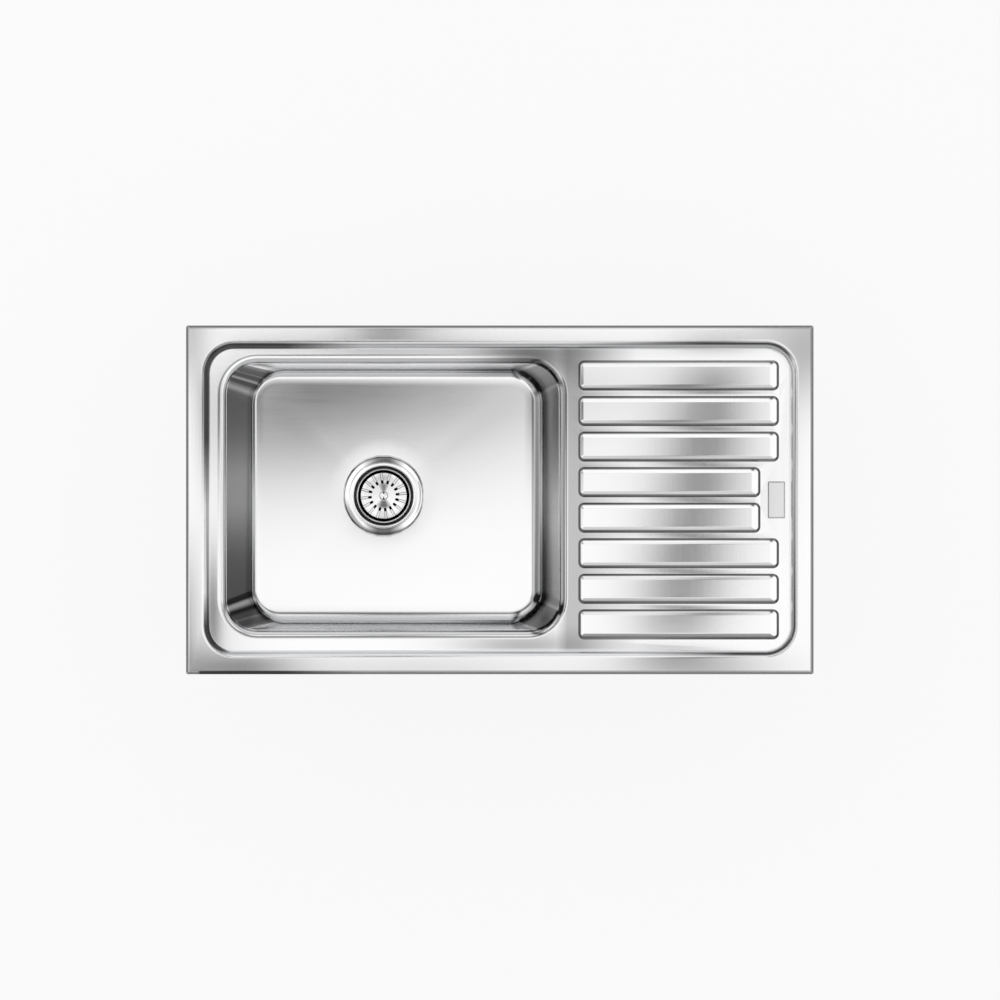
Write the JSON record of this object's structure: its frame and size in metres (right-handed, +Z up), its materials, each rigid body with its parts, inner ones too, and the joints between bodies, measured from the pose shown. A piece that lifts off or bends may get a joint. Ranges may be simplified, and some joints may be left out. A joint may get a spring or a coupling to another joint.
{
  "type": "kitchen sink",
  "caption": "Drop-in stainless steel kitchen sink with one deep bowl, a raised-pad drainer on the right, a lift-out basket waste and swinging worktop clips.",
  "frame": {"origin": "middle of the worktop's cut-out, in the plane of the worktop's top face, where the rim's seal sits", "axes": "+X to the right towards the drainer, +Y to the back, +Z up out of the worktop"},
  "size_m": [0.914, 0.508, 0.3692],
  "materials": {
    "satin_steel": "fine satin brush",
    "plate_steel": "satin",
    "bright_steel": "spun and polished",
    "zinc_plate": "zinc plated",
    "cast_zinc": "as cast",
    "brass": "turned",
    "black_rubber": "matt",
    "grey_rubber": "matt",
    "fibre": "pressed fibre",
    "white_plastic": "moulded"
  },
  "bodies": {
    "sink": {"top_pressing": "satin_steel", "bowl_pressing": "satin_steel", "blank_plate": "plate_steel", "rim_seal": "black_rubber", "clip_rail_front": "zinc_plate", "clip_rail_back": "zinc_plate", "clip_rail_left": "zinc_plate", "clip_rail_right": "zinc_plate", "clip_bolts": "zinc_plate", "sound_pad_front": "grey_rubber", "sound_pad_back": "grey_rubber", "sound_pad_left": "grey_rubber", "sound_pad_right": "grey_rubber", "sound_pad_floor": "grey_rubber", "sound_pad_drainer": "grey_rubber", "flange_gasket": "grey_rubber", "waste_body": "bright_steel", "body_gasket": "black_rubber", "friction_ring": "fibre", "locknut": "cast_zinc", "tailpiece_washer": "white_plastic", "tailpiece": "bright_steel", "coupling_nut": "cast_zinc"},
    "basket": {"basket_cup": "bright_steel"},
    "stem": {"basket_stem": "bright_steel", "basket_knob": "bright_steel", "rubber_stopper": "black_rubber", "stopper_washer": "bright_steel", "stem_nut": "brass"},
    "nut_1": {"clip_nut_1": "zinc_plate"},
    "claw_1": {"clip_claw_1": "zinc_plate"},
    "nut_2": {"clip_nut_2": "zinc_plate"},
    "claw_2": {"clip_claw_2": "zinc_plate"},
    "nut_3": {"clip_nut_3": "zinc_plate"},
    "claw_3": {"clip_claw_3": "zinc_plate"},
    "nut_4": {"clip_nut_4": "zinc_plate"},
    "claw_4": {"clip_claw_4": "zinc_plate"},
    "nut_5": {"clip_nut_5": "zinc_plate"},
    "claw_5": {"clip_claw_5": "zinc_plate"},
    "nut_6": {"clip_nut_6": "zinc_plate"},
    "claw_6": {"clip_claw_6": "zinc_plate"},
    "nut_7": {"clip_nut_7": "zinc_plate"},
    "claw_7": {"clip_claw_7": "zinc_plate"},
    "nut_8": {"clip_nut_8": "zinc_plate"},
    "claw_8": {"clip_claw_8": "zinc_plate"}
  },
  "joints": [
    {"name": "basket_lift", "type": "slide", "parent": "sink", "child": "basket", "axis": [0, 0, 1], "range_m": [0, 0.27]},
    {"name": "stem_pull", "type": "slide", "parent": "basket", "child": "stem", "axis": [0, 0, 1], "range_m": [0, 0.008]},
    {"name": "clip_1_travel", "type": "slide", "parent": "sink", "child": "nut_1", "axis": [0, 0, 1], "range_m": [0, 0.014]},
    {"name": "clip_1_swing", "type": "hinge", "parent": "nut_1", "child": "claw_1", "pos_m": [-0.3, -0.2165, -0.045], "axis": [0, 0, 1], "range_deg": [0, 90]},
    {"name": "clip_2_travel", "type": "slide", "parent": "sink", "child": "nut_2", "axis": [0, 0, 1], "range_m": [0, 0.014]},
    {"name": "clip_2_swing", "type": "hinge", "parent": "nut_2", "child": "claw_2", "pos_m": [0, -0.2165, -0.045], "axis": [0, 0, 1], "range_deg": [0, 90]},
    {"name": "clip_3_travel", "type": "slide", "parent": "sink", "child": "nut_3", "axis": [0, 0, 1], "range_m": [0, 0.014]},
    {"name": "clip_3_swing", "type": "hinge", "parent": "nut_3", "child": "claw_3", "pos_m": [0.3, -0.2165, -0.045], "axis": [0, 0, 1], "range_deg": [0, 90]},
    {"name": "clip_4_travel", "type": "slide", "parent": "sink", "child": "nut_4", "axis": [0, 0, 1], "range_m": [0, 0.014]},
    {"name": "clip_4_swing", "type": "hinge", "parent": "nut_4", "child": "claw_4", "pos_m": [-0.3, 0.2165, -0.045], "axis": [0, 0, 1], "range_deg": [0, 90]},
    {"name": "clip_5_travel", "type": "slide", "parent": "sink", "child": "nut_5", "axis": [0, 0, 1], "range_m": [0, 0.014]},
    {"name": "clip_5_swing", "type": "hinge", "parent": "nut_5", "child": "claw_5", "pos_m": [0, 0.2165, -0.045], "axis": [0, 0, 1], "range_deg": [0, 90]},
    {"name": "clip_6_travel", "type": "slide", "parent": "sink", "child": "nut_6", "axis": [0, 0, 1], "range_m": [0, 0.014]},
    {"name": "clip_6_swing", "type": "hinge", "parent": "nut_6", "child": "claw_6", "pos_m": [0.3, 0.2165, -0.045], "axis": [0, 0, 1], "range_deg": [0, 90]},
    {"name": "clip_7_travel", "type": "slide", "parent": "sink", "child": "nut_7", "axis": [0, 0, 1], "range_m": [0, 0.014]},
    {"name": "clip_7_swing", "type": "hinge", "parent": "nut_7", "child": "claw_7", "pos_m": [-0.4195, 0, -0.045], "axis": [0, 0, 1], "range_deg": [0, 90]},
    {"name": "clip_8_travel", "type": "slide", "parent": "sink", "child": "nut_8", "axis": [0, 0, 1], "range_m": [0, 0.014]},
    {"name": "clip_8_swing", "type": "hinge", "parent": "nut_8", "child": "claw_8", "pos_m": [0.4195, 0, -0.045], "axis": [0, 0, 1], "range_deg": [0, 90]}
  ]
}
